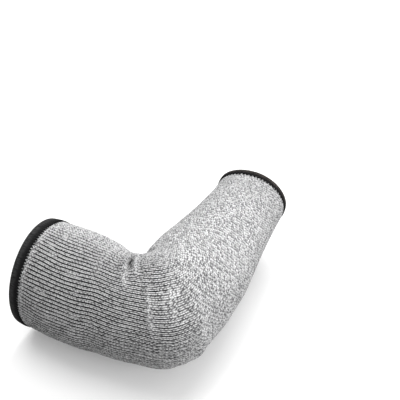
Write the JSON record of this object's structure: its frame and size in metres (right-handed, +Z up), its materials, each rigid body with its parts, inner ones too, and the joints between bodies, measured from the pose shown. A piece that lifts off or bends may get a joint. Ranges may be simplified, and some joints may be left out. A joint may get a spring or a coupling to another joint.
{
  "type": "cut resistant sleeve",
  "caption": "Seamless knitted arm sleeve bent at the elbow, open at both ends, each raw end bound by a dark overlocked edging.",
  "frame": {"origin": "centre of the upper arm opening, where the arm goes in", "axes": "+X along the upper leg of the sleeve, into it; +Y along the forearm leg, toward the wrist; +Z up, across the plane of the bend"},
  "size_m": [0.1819, 0.2556, 0.1104],
  "materials": {
    "knit": "matte heather grey knit of pale and dark yarns",
    "edging": "matte black overlock thread"
  },
  "bodies": {
    "root": {"knit_tube": "knit", "upper_edging": "edging", "wrist_edging": "edging"}
  },
  "joints": []
}
